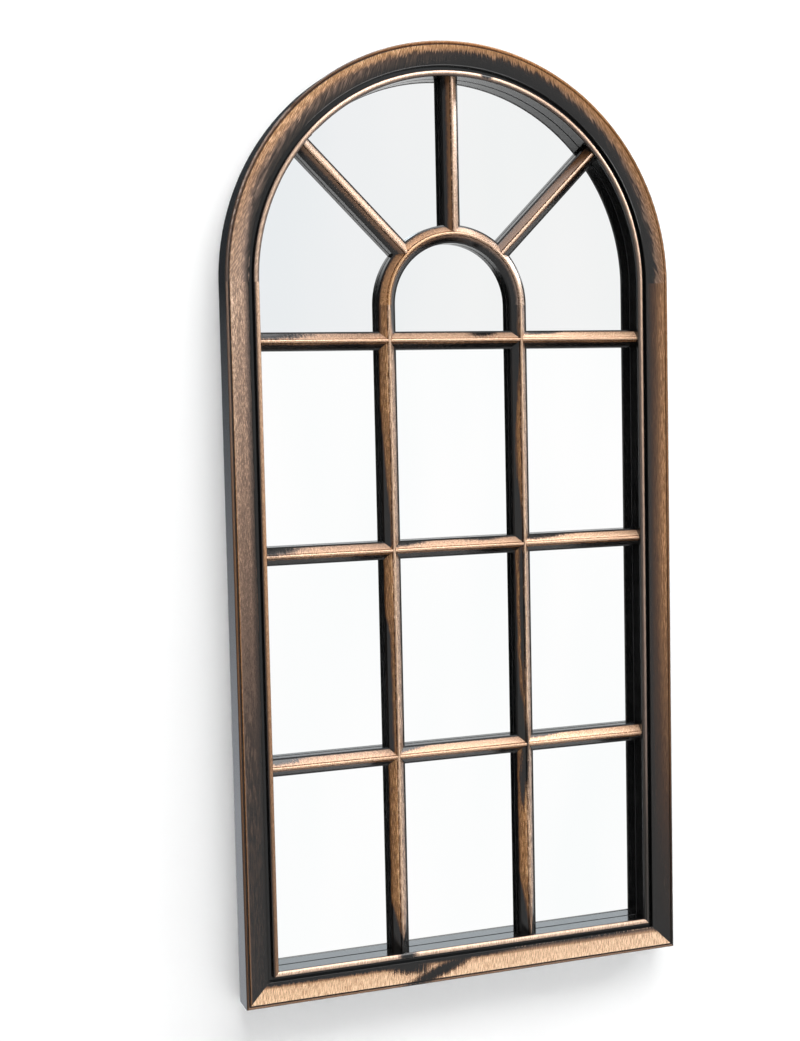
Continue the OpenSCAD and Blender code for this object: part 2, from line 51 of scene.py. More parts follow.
def linear(hex_code: str) -> tuple[float, ...]:
    """Turns an sRGB hex colour into the linear RGBA that the shader nodes take.

    Args:
        hex_code: The colour as "#rrggbb".

    Returns:
        Red, green and blue in linear light, and full alpha.
    """
    channels = [int(hex_code[i:i + 2], 16) / 255 for i in (1, 3, 5)]
    red, green, blue = [
        c / 12.92 if c <= 0.04045 else ((c + 0.055) / 1.055) ** 2.4 for c in channels
    ]
    return red, green, blue, 1.0


class Graph:
    """A node tree that is being filled."""

    def __init__(self, tree: bpy.types.NodeTree) -> None:
        """Empties the tree."""
        self.tree = tree
        tree.nodes.clear()

    def add(
        self,
        kind: str,
        settings: Mapping[str, Any] | str | None = None,
        links: Mapping[int | str, Any] | Sequence[Any] | None = None,
        output: int | str = 0,
    ) -> Socket | None:
        """Adds one node with its settings and links.

        Args:
            kind: The node's class name after its "ShaderNode", such as "Math".
            settings: The node's operation, or its own values by name, where "stops" holds a
                colour ramp's (place, colour) pairs.
            links: What the inputs get, in order or by number or name: a number, a colour, or
                another node's output socket.
            output: The output that the caller goes on with.

        Returns:
            That output socket, or None where the node has none.
        """
        made = self.tree.nodes.new(f"ShaderNode{kind}")
        values = {"operation": settings} if isinstance(settings, str) else settings or {}
        for name, value in values.items():
            if name == "stops":
                elements = made.color_ramp.elements
                while len(elements) < len(value):
                    elements.new(1.0)
                for element, (place, colour) in zip(elements, value):
                    element.position = place
                    element.color = colour
            else:
                setattr(made, name, value)
        inputs = links if isinstance(links, Mapping) else dict(enumerate(links or ()))
        for key, value in inputs.items():
            if isinstance(value, Socket):
                self.tree.links.new(value, made.inputs[key])
            else:
                made.inputs[key].default_value = value
        return made.outputs[output] if made.outputs else None

    def profile(self, place: Socket, stops: Stops) -> Socket:
        """Gives an amount that follows straight lines between stops.

        Args:
            place: The distance in millimetres that the amount depends on.
            stops: The amounts and where they hold.

        Returns:
            The amount.
        """
        low, high = stops[0][0], stops[-1][0]
        share = self.add("MapRange", None, (place, low, high))
        least = min(amount for _, amount in stops)
        span = max(amount for _, amount in stops) - least or 1.0
        ramp = [((mm - low) / (high - low), ((v - least) / span,) * 3 + (1.0,)) for mm, v in stops]
        drawn = self.add("ValToRGB", {"stops": ramp}, (share,))
        return self.add("Math", "MULTIPLY_ADD", (drawn, span, least))

    def rays(self) -> tuple[Socket, Socket]:
        """Tells kinds of ray apart.

        Returns:
            1 for what the camera sees, also through glass, and 1 for what a reflection shows.
        """
        kinds = ("Camera", "Transmission", "Glossy")
        camera, through, glossy = [self.add("LightPath", output=f"Is {kind} Ray") for kind in kinds]
        return self.add("Math", "MAXIMUM", (camera, through)), glossy


def new_material(name: str) -> tuple[bpy.types.Material, Graph]:
    """Starts a material.

    Args:
        name: The material's name.

    Returns:
        The material and its empty graph.
    """
    made = bpy.data.materials.new(name)
    made.use_nodes = True
    return made, Graph(made.node_tree)


@dataclass(frozen=True)
class StraightRun:
    """A straight member, with x and z in millimetres.

    Attributes:
        origin: A point on the line that distances across are counted from.
        along: The way that the member runs.
        across: The way that distances across count up.
    """

    origin: Pair
    along: Pair
    across: Pair

    def place(self, graph: Graph, point: Socket) -> tuple[Socket, Socket]:
        """Gives the distances along and across the member.

        Args:
            graph: The tree to add to.
            point: The place on the surface in millimetres.

        Returns:
            The distance along and the distance across.
        """
        from_start = graph.add("VectorMath", "SUBTRACT", (point, in_plane(self.origin)))
        along, across = [
            graph.add("VectorMath", "DOT_PRODUCT", (from_start, in_plane(way)), "Value")
            for way in (self.along, self.across)
        ]
        return along, across


@dataclass(frozen=True)
class RoundRun:
    """A member bent to a half circle, with x and z in millimetres.

    Attributes:
        centre: The centre of the circle.
        radius: The radius of the line that distances across are counted from.
        outward: 1 where distances across count up away from the centre, or -1.
    """

    centre: Pair
    radius: float
    outward: int

    def place(self, graph: Graph, point: Socket) -> tuple[Socket, Socket]:
        """Gives the distances along, from the top and rising to the right, and across the member.

        Args:
            graph: The tree to add to.
            point: The place on the surface in millimetres.

        Returns:
            The distance along and the distance across.
        """
        from_centre = graph.add("VectorMath", "SUBTRACT", (point, in_plane(self.centre)))
        flat = graph.add("VectorMath", "MULTIPLY", (from_centre, (1.0, 0.0, 1.0)))
        reach = graph.add("VectorMath", "LENGTH", (flat,), "Value")
        past = graph.add("Math", "SUBTRACT", (reach, self.radius))
        across = graph.add("Math", "MULTIPLY", (past, float(self.outward)))
        x, z = [graph.add("SeparateXYZ", None, (flat,), axis) for axis in "XZ"]
        angle = graph.add("Math", "ARCTAN2", (x, z))
        along = graph.add("Math", "MULTIPLY", (angle, self.radius))
        return along, across


@dataclass(frozen=True)
class Miss:
    """A spot that the brush missed, as an oval in the frame's plane. Sizes are in millimetres.

    Attributes:
        centre: x and z of its middle.
        half: Half its length and half its width.
        turn: Degrees that its length rises from level, going right.
        ragged: How much the noise moves its edge, as a share of its size.
        edge: How far from the middle, with the noise added, copper starts and is all there.
    """

    centre: Pair
    half: Pair
    turn: float = 0.0
    ragged: float = 1.1
    edge: Pair = (1.7, 2.3)

    def kept(self, graph: Graph, point: Socket, noise: Socket) -> Socket:
        """Gives how much copper stays there, which is nothing in the middle of the spot.

        Args:
            graph: The tree to add to.
            point: The place on the surface in millimetres.
            noise: A noise from 0 to 2, which makes the oval's edge ragged.

        Returns:
            The share that stays, from 0 to 1.
        """
        away = graph.add("VectorMath", "SUBTRACT", (point, in_plane(self.centre)))
        cos, sin = math.cos(math.radians(self.turn)), math.sin(math.radians(self.turn))
        ways = ((cos, 0.0, sin), (-sin, 0.0, cos))
        shares = [
            graph.add("VectorMath", "DOT_PRODUCT", (away, tuple(c / half for c in way)), "Value")
            for way, half in zip(ways, self.half)
        ]
        oval = graph.add("CombineXYZ", None, shares)
        reach = graph.add("VectorMath", "LENGTH", (oval,), "Value")
        rough = graph.add("Math", "MULTIPLY_ADD", (noise, self.ragged, reach))
        return graph.add("MapRange", None, (rough, *self.edge))


@dataclass(frozen=True)
class Rub:
    """Where one member took the copper. Distances are in millimetres and amounts run from 0 to 1.

    Attributes:
        lines: Amounts across the member on the raised lines, whose edges are crisp.
        face: Amounts across the member on its broad faces, whose edges are ragged.
        bounds: Amounts across the member that keep the face within crisp edges.
        skirt: Distances along the member and how far the face's edge draws back there.
        lean: The same, and how far the copper leans to where distances across are positive.
        strength: Distances along the member and how much copper its face holds there.
        line_strength: The same for its raised lines.
        wash: Distances along the member and how thick a thin wash lies over its whole face there.
        wash_bounds: The same across the member.
        gold: Distances along the member and how golden the copper is, from 0 for the pink tone.
        gold_bounds: The same across the member.
        rim_strength: Distances along the member and how much copper its rim holds there.
        surface: Heights from which the copper starts and has fully started.
        ragged: How far the brush strokes carry the face's edge.
        drift: How far that edge wanders over a hand's width.
        elbow: x and z of the point that the hand swung about, so the strokes run towards it.
        arm: The distance from there at which a stroke has its width.
        stroke: Width and length of a stroke.
        gaps: How strongly the bristles part the copper, from 0 for a smooth coat.
        grains: How much the paint's grains show beside the bristles' marks.
        misses: Spots without copper.
    """

    lines: Stops
    face: Stops
    bounds: Stops = ((4.1, 0.0), (4.6, 1.0))
    skirt: Stops = level(0.0)
    lean: Stops = level(0.0)
    strength: Stops = level(1.0)
    line_strength: Stops = level(1.0)
    wash: Stops = level(0.0)
    wash_bounds: Stops = ((14.0, 1.0), (24.2, 0.55), (24.6, 0.0))
    gold: Stops = level(0.5)
    gold_bounds: Stops = ((20.0, 1.0), (28.0, 0.0))
    rim_strength: Stops = level(1.0)
    surface: Pair = (26.4, 27.0)
    ragged: float = 5.0
    drift: float = 3.0
    elbow: Pair = (0.0, 5500.0)
    arm: float = 5000.0
    stroke: Pair = (1.1, 9.0)
    gaps: float = 1.0
    grains: float = 0.15
    misses: tuple[Miss, ...] = ()


@dataclass(frozen=True)
class RubbedCopper:
    """Moulded black polystyrene, with copper paint rubbed on by hand.

    The moulding comes out of its steel tool with a smooth skin, so bare plastic shows a sharp grey
    gloss. A nearly dry brush leaves metal flakes on what stands proud, which gives a soft warm
    sheen broken by streaks. The ranges named after a mark of the brush are values of a noise.
    """

    bare: str = "#101010"
    # From the thinnest to the thickest coat, in the pink tone and in the golden one. On the bars,
    # the pale pink coats are partly a painted highlight where they face the upper right
    pink: tuple[str, ...] = ("#38302b", "#74635a", "#b3957f", "#eacbb2")
    golden: tuple[str, ...] = ("#3f2716", "#7d5530", "#bb8652", "#edc496")
    coats: tuple[float, ...] = (0.22, 0.5, 0.8, 1.0)
    # Smooth skin against nearly flat flakes, and the coats between which the gloss changes
    bare_roughness: float = 0.14
    copper_roughness: float = 0.27
    gloss_coats: Pair = (0.0, 0.6)
    # The paint's binder covers most of its flakes, so that it is only part metal
    copper_metallic: float = 0.35
    metal_coats: Pair = (0.1, 0.7)
    # A thin matt lacquer over both
    ior: float = 1.43
    # A brush mark stands this high, in metres, and changes the roughness this much either way
    mark_height: float = 0.000006
    mark_relief: float = 0.6
    smear: float = 0.06
    # In millimetres: grains of the dried paint, drawn coarser than they are so that they show, and
    # the wandering of the hand
    fleck: float = 0.6
    hand: float = 70.0
    # Bristles cling together in tufts, this many times as wide and long as one bristle's stroke
    tuft: float = 3.2
    # In millimetres: how far one member lies from the next in the noises
    apart: Pair = (91.0, 57.0)
    # Where the frame's rim ends, counted across a member
    rim: Pair = (2.9, 3.3)
    # Tufts hatch a thin wash, from its thinnest to its thickest places
    hatch_range: Pair = (0.38, 0.62)
    hatch: Pair = (0.35, 1.35)
    # Single bristles and tufts part the copper this much either way
    gap_range: Pair = (0.34, 0.66)
    bristle_gaps: float = 0.5
    tuft_gaps: float = 0.15
    # Bristles thin the crisp lines down to this
    line_range: Pair = (0.3, 0.6)
    thinned: float = 0.85
    # The dry brush leaves this much on the rest
    film_range: Pair = (0.42, 0.7)
    film: float = 0.03

    def material(
        self, name: str, run: StraightRun | RoundRun, rub: Rub, seed: float
    ) -> bpy.types.Material:
        """Makes the material of one member.

        Args:
            name: The material's name.
            run: How the member runs.
            rub: Where it took the copper.
            seed: Sets this member's strokes apart from the others'.

        Returns:
            The material.
        """
        made, graph = new_material(name)
        place = graph.add("TexCoord", output="Object")
        point = graph.add("VectorMath", "SCALE", {0: place, "Scale": MM_PER_M})
        depth = graph.add("SeparateXYZ", None, (point,), "Y")
        height = graph.add("Math", "MULTIPLY", (depth, -1.0))
        along, across = run.place(graph, point)
        copper, strokes = self.cover(graph, point, along, across, height, rub, seed)

        tones = []
        for shades in (self.pink, self.golden):
            stops = [(0.0, linear(self.bare))]
            stops += [(at, linear(shade)) for at, shade in zip(self.coats, shades)]
            tones.append(graph.add("ValToRGB", {"stops": stops}, (copper,)))
        gold = graph.add(
            "Math",
            "MULTIPLY",
            (graph.profile(along, rub.gold), graph.profile(across, rub.gold_bounds)),
        )
        colour = graph.add("Mix", {"data_type": "RGBA"}, {0: gold, 6: tones[0], 7: tones[1]}, 2)
        metallic = graph.add(
            "MapRange", None, (copper, *self.metal_coats, 0.0, self.copper_metallic)
        )
        smear = graph.add("Math", "MULTIPLY_ADD", (strokes, 2 * self.smear, -self.smear))
        sheen = graph.add(
            "MapRange",
            None,
            (copper, *self.gloss_coats, self.bare_roughness, self.copper_roughness),
        )
        roughness = graph.add("Math", "ADD", (sheen, smear))
        relief = graph.add("Math", "MULTIPLY", (strokes, copper))
        normal = graph.add(
            "Bump",
            None,
            {"Strength": self.mark_relief, "Distance": self.mark_height, "Height": relief},
        )
        shader = graph.add(
            "BsdfPrincipled",
            None,
            {
                "Base Color": colour,
                "Metallic": metallic,
                "Roughness": roughness,
                "IOR": self.ior,
                "Normal": normal,
            },
        )
        graph.add("OutputMaterial", None, {"Surface": shader})
        return made

    def cover(
        self,
        graph: Graph,
        point: Socket,
        along: Socket,
        across: Socket,
        height: Socket,
        rub: Rub,
        seed: float,
    ) -> tuple[Socket, Socket]:
        """Works out how much copper lies at a place.

        Args:
            graph: The tree to add to.
            point: The place in millimetres.
            along: Its distance along the member.
            across: Its distance across the member.
            height: How far it stands out from the frame's back.
            rub: Where the member took the copper.
            seed: Sets this member's strokes apart.

        Returns:
            The amount of copper from 0 to 1, and the height of the brush marks.
        """
        width, length = rub.stroke
        to_elbow = graph.add("VectorMath", "SUBTRACT", (in_plane(rub.elbow), point))
        reach = graph.add("VectorMath", "LENGTH", (to_elbow,), "Value")
        x, z = [graph.add("SeparateXYZ", None, (to_elbow,), axis) for axis in "XZ"]
        angle = graph.add("Math", "ARCTAN2", (x, z))
        noises = []
        for size in (self.tuft, 1.0):
            over = graph.add("Math", "MULTIPLY", (angle, rub.arm / (width * size)))
            down = graph.add("Math", "DIVIDE", (reach, length * size))
            spread = graph.add("CombineXYZ", None, (over, down, seed))
            noise = {"Vector": spread, "Scale": 1.0, "Detail": 2.0}
            noises.append(graph.add("TexNoise", None, noise))
        strokes, hairs = noises
        apart = (seed * self.apart[0], 0.0, seed * self.apart[1])
        moved = graph.add("VectorMath", "ADD", (point, apart))
        wander = graph.add(
            "TexNoise", None, {"Vector": moved, "Scale": 1 / self.hand, "Detail": 2.0}
        )
        flecks = graph.add(
            "TexNoise", None, {"Vector": moved, "Scale": 1 / self.fleck, "Detail": 1.0}
        )

        # The face's edge moves with the strokes, the hand and the place along the member
        skirt = graph.profile(along, rub.skirt)
        for noise, carried in ((strokes, 2 * rub.ragged), (wander, 2 * rub.drift)):
            pushed = graph.add("Math", "MULTIPLY_ADD", (noise, carried, -carried / 2))
            skirt = graph.add("Math", "ADD", (skirt, pushed))
        side = graph.add("Math", "SIGN", (across,))
        edge = graph.add("Math", "MULTIPLY_ADD", (skirt, side, across))
        lean = graph.profile(along, rub.lean)
        edge = graph.add("Math", "SUBTRACT", (edge, lean))
        face = graph.profile(edge, rub.face)
        strength = graph.profile(along, rub.strength)
        face = graph.add("Math", "MULTIPLY", (face, strength))
        wash = graph.add(
            "Math",
            "MULTIPLY",
            (graph.profile(along, rub.wash), graph.profile(across, rub.wash_bounds)),
        )
        hatched = graph.add("MapRange", None, (strokes, *self.hatch_range, *self.hatch))
        wash = graph.add("Math", "MULTIPLY", (wash, hatched))
        face = graph.add("Math", "MAXIMUM", (face, wash))
        bounds = graph.profile(across, rub.bounds)
        face = graph.add("Math", "MULTIPLY", (face, bounds))
        lines = graph.profile(across, rub.lines)
        line_strength = graph.profile(along, rub.line_strength)
        lines = graph.add("Math", "MULTIPLY", (lines, line_strength))
        within = graph.add("MapRange", None, (across, *self.rim))
        rim_strength = graph.profile(along, rub.rim_strength)
        rim = graph.add("Math", "MAXIMUM", (within, rim_strength))
        lines = graph.add("Math", "MULTIPLY", (lines, rim))
        ragged = graph.add("Math", "ADD", (strokes, flecks))
        for miss in rub.misses:
            kept = miss.kept(graph, point, ragged)
            face = graph.add("Math", "MULTIPLY", (face, kept))
            lines = graph.add("Math", "MULTIPLY", (lines, kept))

        # Bristles and grains part the copper
        parted = None
        shares = (self.bristle_gaps, self.tuft_gaps, rub.grains)
        for noise, share in zip((hairs, strokes, flecks), shares):
            more = graph.add("MapRange", None, (noise, *self.gap_range, -share, share))
            if parted is None:
                parted = more
            else:
                parted = graph.add("Math", "ADD", (parted, more))
        left = graph.add("Math", "MULTIPLY_ADD", (parted, rub.gaps, 1.0))
        face = graph.add("Math", {"operation": "MULTIPLY", "use_clamp": True}, (left, face))
        broken = graph.add("MapRange", None, (hairs, *self.line_range, self.thinned, 1.0))
        lines = graph.add("Math", "MULTIPLY", (lines, broken))
        both = graph.add("Math", "MAXIMUM", (face, lines))
        film = graph.add("MapRange", None, (strokes, *self.film_range, 0.0, self.film))
        both = graph.add("Math", "MAXIMUM", (both, film))
        raised = graph.add("MapRange", None, (height, *rub.surface))
        copper = graph.add("Math", {"operation": "MULTIPLY", "use_clamp": True}, (both, raised))
        return copper, hairs


@dataclass(frozen=True)
class GrainedFinish:
    """A finish whose colour and gloss vary with one grain, and whose skin shows that grain.

    Attributes:
        dark: The colour in the grain's hollows.
        light: The colour on its tops.
        grain: The grain's size in millimetres along x, y and z.
        roughness: The roughness on the tops and in the hollows.
        relief: How high the grain stands, in metres.
        metallic: 1 for bare metal.
        ior: The index of refraction, which a metal leaves at the default.
        detail: How many finer layers the grain has.
        clouds: How many grains wide the clouds are that keep broad surfaces from looking even.
        cloud_share: How much the clouds count beside the grain.
        tones: The sums of both between which the colour goes from dark to light.
        bump: How strongly the relief shows.
    """

    dark: str
    light: str
    grain: Triple
    roughness: Pair
    relief: float = 0.00002
    metallic: float = 0.0
    ior: float = 1.5
    detail: float = 3.0
    clouds: float = 10.0
    cloud_share: float = 0.5
    tones: Pair = (0.5, 1.0)
    bump: float = 0.7

    def material(self, name: str) -> bpy.types.Material:
        """Makes the material.

        Args:
            name: The material's name.

        Returns:
            The material.
        """
        made, graph = new_material(name)
        place = graph.add("TexCoord", output="Object")
        scale = tuple(MM_PER_M / mm for mm in self.grain)
        spread = graph.add("VectorMath", "MULTIPLY", (place, scale))
        grain = graph.add("TexNoise", None, {"Vector": spread, "Scale": 1.0, "Detail": self.detail})
        clouds = graph.add(
            "TexNoise", None, {"Vector": spread, "Scale": 1 / self.clouds, "Detail": 2.0}
        )
        both = graph.add("Math", "MULTIPLY_ADD", (clouds, self.cloud_share, grain))
        tone = graph.add("MapRange", None, (both, *self.tones))
        ramp = [(0.0, linear(self.dark)), (1.0, linear(self.light))]
        colour = graph.add("ValToRGB", {"stops": ramp}, (tone,))
        top, hollow = self.roughness
        roughness = graph.add("MapRange", None, (tone, 0.0, 1.0, hollow, top))
        normal = graph.add(
            "Bump", None, {"Strength": self.bump, "Distance": self.relief, "Height": grain}
        )
        shader = graph.add(
            "BsdfPrincipled",
            None,
            {
                "Base Color": colour,
                "Metallic": self.metallic,
                "Roughness": roughness,
                "IOR": self.ior,
                "Normal": normal,
            },
        )
        graph.add("OutputMaterial", None, {"Surface": shader})
        return made


@dataclass(frozen=True)
class SilveredGlass:
    """Float glass with a silver coat behind it.

    It throws back nearly all light, a little less red than green, and its float lines bend a
    reflection hardly at all.
    """

    silver: str = "#fefefe"
    cool: str = "#fafcfc"
    roughness: float = 0.0
    # Float lines lie a hand's width apart in millimetres, are longer than that, and stand up far
    # less than a hair, in metres
    line_gap: float = 90.0
    line_stretch: float = 4.0
    line_height: float = 0.000002
    line_relief: float = 0.1
    # The float lines' noise between which the silver turns cool
    tint_range: Pair = (0.3, 0.7)

    def material(self, name: str) -> bpy.types.Material:
        """Makes the material.

        Args:
            name: The material's name.

        Returns:
            The material.
        """
        made, graph = new_material(name)
        place = graph.add("TexCoord", output="Object")
        scale = MM_PER_M / self.line_gap
        stretched = (scale, scale, scale / self.line_stretch)
        spread = graph.add("VectorMath", "MULTIPLY", (place, stretched))
        lines = graph.add("TexNoise", None, {"Vector": spread, "Scale": 1.0, "Detail": 1.0})
        ramp = [(at, linear(tint)) for at, tint in zip(self.tint_range, (self.silver, self.cool))]
        colour = graph.add("ValToRGB", {"stops": ramp}, (lines,))
        normal = graph.add(
            "Bump",
            None,
            {"Strength": self.line_relief, "Distance": self.line_height, "Height": lines},
        )
        shader = graph.add(
            "BsdfPrincipled",
            None,
            {"Base Color": colour, "Metallic": 1.0, "Roughness": self.roughness, "Normal": normal},
        )
        graph.add("OutputMaterial", None, {"Surface": shader})
        return made


# Black foam tape: closed cells under half a millimetre, which take up nearly all light. Along the
# feet of the bars and the rim its black is also painted shade, the dark line that the glass's
# thickness shows there
BLACK_TAPE_AND_CONTACT_SHADE = GrainedFinish("#0b0b0c", "#17171a", (0.4, 0.4, 0.4), (0.85, 0.95), 0.00008)
# Hardboard: wood fibre dyed black and pressed flat, smooth here and clouded with paler fibres
HARDBOARD = GrainedFinish("#181716", "#312f2d", (1.6, 1.6, 5.0), (0.5, 0.66), 0.00004, detail=6.0)
# Glass-filled nylon: a dull black with the fibres' fine grey haze
FILLED_NYLON = GrainedFinish("#161718", "#26282a", (0.8, 0.8, 2.4), (0.45, 0.6), 0.00003)
# Zinc plate on rolled sheet: a cool bright metal with fine lines along the roll
ZINC_SHEET = GrainedFinish(
    "#a9adb2", "#d5d8da", (0.5, 0.5, 9.0), (0.26, 0.4), 0.00001, metallic=1.0
)
# Nickel plate on drawn wire: brighter and a little warmer, with hardly any grain
NICKEL_WIRE = GrainedFinish(
    "#b9b5ac", "#dcd8cf", (0.6, 0.6, 0.6), (0.16, 0.24), 0.000005, metallic=1.0
)
# Blue passivated steel screws: a cold metal with small dark flecks
PASSIVATED_STEEL = GrainedFinish(
    "#8d949c", "#c3c9cf", (0.5, 0.5, 0.5), (0.24, 0.38), 0.00001, metallic=1.0
)
# Moulded rubber: a dull charcoal with a fine bloom
RUBBER = GrainedFinish("#18181a", "#2b2b2d", (0.9, 0.9, 0.9), (0.7, 0.85), 0.00004)


def dress(node: str, material: bpy.types.Material) -> None:
    """Gives a CAD node its finish.

    Args:
        node: The node's name.
        material: The finish.
    """
    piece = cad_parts[node]
    piece.data.materials.clear()
    piece.data.materials.append(material)
    LOG.info("%s: %s", node, material.name)


# Copper on the frame's raised lines, from the outer edge: the rim, the crest and the inner bead
FRAME_LINES: Stops = (
    (0.0, 0.12), (0.6, 0.5), (1.8, 0.6), (2.6, 0.4), (3.3, 0.05), (4.1, 0.2), (4.5, 0.9),
    (5.4, 0.85), (6.6, 0.0), (30.2, 0.0), (31.0, 0.4), (31.8, 0.9), (34.4, 1.0), (35.4, 0.8),
    (36.0, 0.4),
)
# On the arch and on the right the rim took more copper, because the hand came in from there
OUTER_LINES: Stops = (
    (0.0, 0.35), (0.6, 0.6), (1.8, 0.7), (2.1, 0.85), (2.9, 0.7), (3.3, 0.2), (3.9, 0.3),
    (4.4, 0.8), (5.3, 0.75), (6.2, 0.0), (29.8, 0.0), (30.4, 0.5), (31.2, 0.95), (32.8, 1.0),
    (33.8, 0.6), (35.2, 0.35), (36.0, 0.0),
)


@dataclass
class MouldedFrame:
    """The four members of the frame and the keys that join them. Sizes are in millimetres."""

    half_width: float = 250.0
    spring_height: float = 750.0
    copper: RubbedCopper = RubbedCopper()
    nylon: GrainedFinish = FILLED_NYLON
    # Sets each member's strokes apart from the last one's
    seed_step: float = 3.7

    def dress(self) -> None:
        """Gives every member and key its finish."""
        edge = self.half_width
        arch = Rub(
            lines=OUTER_LINES,
            face=((0.0, 0.88), (7.0, 0.8), (10.4, 0.68), (12.2, 0.16), (15.0, 0.05), (17.0, 0.0)),
            skirt=(
                (-393.0, -14.0), (-330.0, -9.0), (-290.0, -2.0), (-262.0, -1.5), (-196.0, -3.0),
                (-131.0, 0.5), (0.0, 1.3), (110.0, 1.3), (190.0, -0.5), (260.0, -2.0),
                (320.0, -1.5), (393.0, -1.0),
            ),
            strength=(
                (-393.0, 0.8), (-320.0, 0.76), (-250.0, 0.96), (-50.0, 1.0), (80.0, 0.84),
                (250.0, 0.7), (393.0, 0.62),
            ),
            wash=(
                (-393.0, 0.5), (-330.0, 0.47), (-262.0, 0.42), (-196.0, 0.38), (-131.0, 0.4),
                (-50.0, 0.2), (20.0, 0.0),
            ),
            gold=(
                (-393.0, 0.1), (-320.0, 0.4), (-240.0, 0.75), (-60.0, 0.85), (250.0, 0.9),
                (393.0, 0.6),
            ),
            gold_bounds=((5.0, 1.0), (9.0, 0.8), (15.0, 0.3), (28.0, 0.0)),
            line_strength=((-393.0, 0.95), (60.0, 1.0), (200.0, 0.95), (393.0, 0.9)),
            rim_strength=(
                (-393.0, 0.5), (-260.0, 0.5), (-190.0, 0.4), (-130.0, 0.45), (-40.0, 0.85),
                (60.0, 1.0), (393.0, 1.0),
            ),
            ragged=9.0, elbow=(0.0, 1270.0), arm=330.0, stroke=(0.55, 8.0), gaps=0.46, grains=0.06,
            misses=(Miss((38.0, 965.6), (6.5, 3.0), -9.0),),
        )
        left = Rub(
            lines=FRAME_LINES,
            face=((0.0, 1.26), (6.0, 1.2), (12.0, 1.04), (20.0, 1.1), (24.0, 1.16), (24.5, 0.0)),
            strength=(
                (0.0, 0.0), (150.0, 0.02), (240.0, 0.08), (330.0, 0.28), (450.0, 0.4),
                (560.0, 0.52), (750.0, 0.66),
            ),
            wash=((0.0, 0.05), (100.0, 0.11), (240.0, 0.2), (330.0, 0.24), (560.0, 0.0)),
            gold=((0.0, 0.8), (330.0, 0.9), (480.0, 0.8), (600.0, 0.4), (750.0, 0.2)),
            gold_bounds=((4.9, 1.0), (5.6, 0.35), (24.0, 0.35), (30.0, 0.7)),
            line_strength=((0.0, 0.54), (200.0, 0.62), (450.0, 0.75), (750.0, 0.95)),
            ragged=0.5, drift=0.8, elbow=(-200.0, 5500.0), stroke=(0.5, 4.5), gaps=0.54, grains=0.4,
        )
        right = Rub(
            lines=OUTER_LINES,
            face=((0.0, 0.78), (9.0, 0.62), (14.0, 0.34), (20.0, 0.18), (24.0, 0.12), (24.4, 0.0)),
            strength=(
                (0.0, 0.0), (100.0, 0.12), (220.0, 0.46), (450.0, 0.9), (600.0, 0.9), (750.0, 0.76),
            ),
            line_strength=((0.0, 0.05), (120.0, 0.2), (250.0, 0.55), (750.0, 0.9)),
            gold=((0.0, 0.9), (750.0, 0.75)),
            ragged=2.0, drift=2.0, elbow=(230.0, 5500.0), stroke=(0.5, 9.0), gaps=0.5, grains=0.15,
        )
        rail = Rub(
            lines=FRAME_LINES,
            face=((0.0, 0.98), (18.0, 0.94), (22.0, 0.86), (24.2, 0.6), (24.5, 0.0)),
            skirt=((-250.0, 2.6), (-90.0, 2.6), (-30.0, 0.8), (30.0, 0.0), (250.0, 0.0)),
            gold=((-250.0, 0.6), (250.0, 0.4)),
            ragged=4.0, drift=2.0, elbow=(900.0, 5500.0), stroke=(0.5, 7.0), gaps=0.34, grains=0.3,
            misses=(
                Miss((-69.0, 20.5), (25.0, 8.0), -8.0),
                Miss((-10.0, 24.0), (60.0, 3.6), 0.0),
                Miss((-34.0, 12.0), (45.0, 6.4), 17.0),
                Miss((-71.0, 34.0), (10.0, 6.0), 0.0),
                Miss((236.0, 22.0), (14.0, 6.0), -35.0),
            ),
        )
        members = (
            ("arch_head", RoundRun((0.0, self.spring_height), edge, -1), arch),
            ("stile_left", StraightRun((-edge, 0.0), (0.0, 1.0), (1.0, 0.0)), left),
            ("stile_right", StraightRun((edge, 0.0), (0.0, 1.0), (-1.0, 0.0)), right),
            ("bottom_rail", StraightRun((0.0, 0.0), (1.0, 0.0), (0.0, 1.0)), rail),
        )
        for seed, (node, run, rub) in enumerate(members):
            name = f"rubbed copper on polystyrene, {node}"
            material = self.copper.material(name, run, rub, seed * self.seed_step)
            dress(node, material)
        nylon = self.nylon.material("glass-filled nylon")
        for node in ("corner_key_left", "corner_key_right", "joint_key_left", "joint_key_right"):
            dress(node, nylon)


